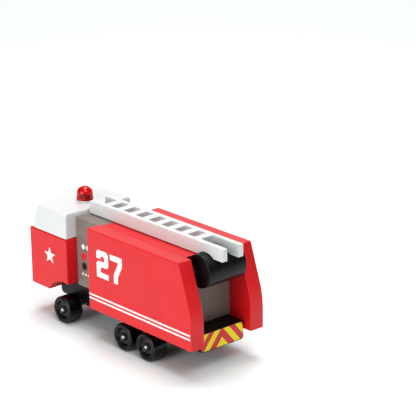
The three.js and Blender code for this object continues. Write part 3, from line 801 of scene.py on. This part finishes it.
def makeNumber(label, side, face):
    wide, high = number["width"] / number["gridWidth"], number["height"] / number["gridHeight"]
    left = number["first"]
    right = left - 2 * number["width"] - number["gap"]
    outlines = []
    for index, figure in enumerate((figureTwo, figureSeven)):
        outline = []
        for u, v in figure:
            along = u * wide + index * (number["width"] + number["gap"])
            x = left - along if side > 0 else right + along
            outline.append((x, number["low"] + v * high))
        outlines.append(outline)
    plates("number" + label, outlines, onSide(face, side), whiteInk, "white_paint")


def makeSidePrints():
    for sideName, side in sides.items():
        label = sideName.capitalize()
        low, high = sizeOf(f"side_panel_{sideName}")
        panelFace = max(abs(low[1]), abs(high[1]))
        makeNumber(label, side, panelFace)
        rear, front = low[0] + stripe["rearMargin"], high[0] - body["panelEdge"]
        half = stripe["thick"] / 2
        bars = [[(rear, z - half), (front, z - half), (front, z + half), (rear, z + half)]
                for z in stripe["heights"]]
        plates("stripes" + label, bars, onSide(panelFace, side), whiteInk, "white_paint")
        points = []
        for step in range(2 * star["points"]):
            turn = pi / 2 + step * pi / star["points"]
            reach = star["outer"] if step % 2 == 0 else star["inner"]
            points.append((star["x"] + reach * cos(turn), star["z"] + reach * sin(turn)))
        plates("doorStar" + label, [points], onSide(sizeOf("cab_lower")[1][1], side), whiteInk, "white_paint")
        pumpFace = sizeOf("pump_block")[1][1]
        for name, material, slotName, radius, z, xs in dials:
            plates(name + label, [dot(x, z, radius) for x in xs], onSide(pumpFace, side), material, slotName)


def clipped(outline, a, b, c):
    # keeps the part of a convex outline where a * u + b * v >= c
    kept = []
    for i, point in enumerate(outline):
        following = outline[(i + 1) % len(outline)]
        here = a * point[0] + b * point[1] - c
        there = a * following[0] + b * following[1] - c
        if here >= 0:
            kept.append(point)
        if (here > 0 > there) or (here < 0 < there):
            t = here / (here - there)
            kept.append(tuple(p + (q - p) * t for p, q in zip(point, following)))
    return kept


def makeTailPrint():
    low, high = sizeOf("chassis_board")
    inset = chevron["inset"]
    half, bottom, top = high[1] - inset, low[2] + inset, high[2] - inset
    edge = chassis["edgeRadius"]
    steps = chevron["cornerSteps"]
    tail = [(-half, top)] + arc(-half + edge, bottom + edge, edge, pi, 1.5 * pi, steps)
    tail += arc(half - edge, bottom + edge, edge, 1.5 * pi, 2 * pi, steps) + [(half, top)]

    def onTail(lift):
        return lambda y, z, off: (low[0] - off - lift, y, z)

    plates("tailRed", [tail], onTail(0), redInk, "red_paint")
    bands = []
    for side in (1, -1):
        halfTail = clipped(tail, side, 0, 0)
        for start, end in chevron["bands"]:
            band = clipped(halfTail, side * chevron["steep"], 1, start)
            band = clipped(band, -side * chevron["steep"], -1, -end)
            if len(band) > 2:
                bands.append(band)
    # the yellow lies on top of the red, and has no slot of its own
    plates("tailYellow", bands, onTail(ink["thick"]), yellowInk, None)


makeSidePrints()
makeTailPrint()
print("prints made")


floor = {"half": 4.0, "colour": (0.93, 0.985, 0.985), "cloudScale": 3, "glossScale": 20, "roughness": (0.75, 0.85)}
lightTarget = (-0.02, 0, 0.03)
lights = [
    # name, place, size, power
    ("overheadSoft", (0.18, -0.22, 1.5), 0.9, 13),
    ("leftSoft", (-0.2, 1.5, 0.45), 1.2, 12.3),
    ("tailSoft", (-0.8, 0.2, 1.25), 0.8, 5.5),
    ("farSoft", (1.05, -0.93, 0.4), 1.6, 4.5),
]
worldStrength = 0.18
camera = {"target": (-57.5, 0, 92.0), "azimuth": 138.75, "elevation": 18.60, "roll": -0.774, "distance": 975.5,
          "lens": 152.57, "sensor": 36, "nearest": 0.05}


def makeFloor():
    shape = bmesh.new()
    half = floor["half"]
    corners = ((-half, -half), (half, -half), (half, half), (-half, half))
    shape.faces.new([shape.verts.new((x, y, 0)) for x, y in corners])
    material, tree, shader = nodeTree("paleFloor")
    place = addNode(tree, "TexCoord").outputs["Object"]
    cloud = ramp(tree, noise(tree, place, floor["cloudScale"], 2), 0, 1)
    colour = mixed(tree, cloud, shade(floor["colour"], 0.995), shade(floor["colour"], 1.005))
    finish(tree, shader, colour, ramp(tree, noise(tree, place, floor["glossScale"], 3), *floor["roughness"]))
    fromMesh("floor", shape, material)


def makeLights():
    for name, place, size, power in lights:
        lamp = bpy.data.lights.new(name, "AREA")
        lamp.shape = "DISK"
        lamp.size = size
        lamp.energy = power
        holder = bpy.data.objects.new(name, lamp)
        holder.location = place
        aim = Vector(lightTarget) - Vector(place)
        holder.rotation_euler = aim.to_track_quat("-Z", "Y").to_euler()
        holder.visible_camera = False
        bpy.context.scene.collection.objects.link(holder)
    world = bpy.data.worlds.new("studio")
    world.use_nodes = True
    world.node_tree.nodes["Background"].inputs["Color"].default_value = (1, 1, 1, 1)
    world.node_tree.nodes["Background"].inputs["Strength"].default_value = worldStrength
    bpy.context.scene.world = world


def makeCamera():
    turn, rise, roll = (radians(camera[key]) for key in ("azimuth", "elevation", "roll"))
    back = Vector((cos(turn) * cos(rise), sin(turn) * cos(rise), sin(rise)))
    across = (-back).cross(Vector((0, 0, 1))).normalized()
    upward = across.cross(-back)
    right = across * cos(roll) + upward * sin(roll)
    up = upward * cos(roll) - across * sin(roll)
    lens = bpy.data.cameras.new("camera")
    lens.lens = camera["lens"]
    lens.sensor_width = camera["sensor"]
    lens.clip_start = camera["nearest"]
    holder = bpy.data.objects.new("camera", lens)
    place = (Vector(camera["target"]) + back * camera["distance"]) * mm
    holder.matrix_world = Matrix.Translation(place) @ Matrix((right, up, back)).transposed().to_4x4()
    bpy.context.scene.collection.objects.link(holder)
    bpy.context.scene.camera = holder


makeFloor()
makeLights()
makeCamera()
bpy.context.scene.view_settings.view_transform = "Standard"
bpy.context.scene.view_settings.look = "Medium High Contrast"
print("stage made")
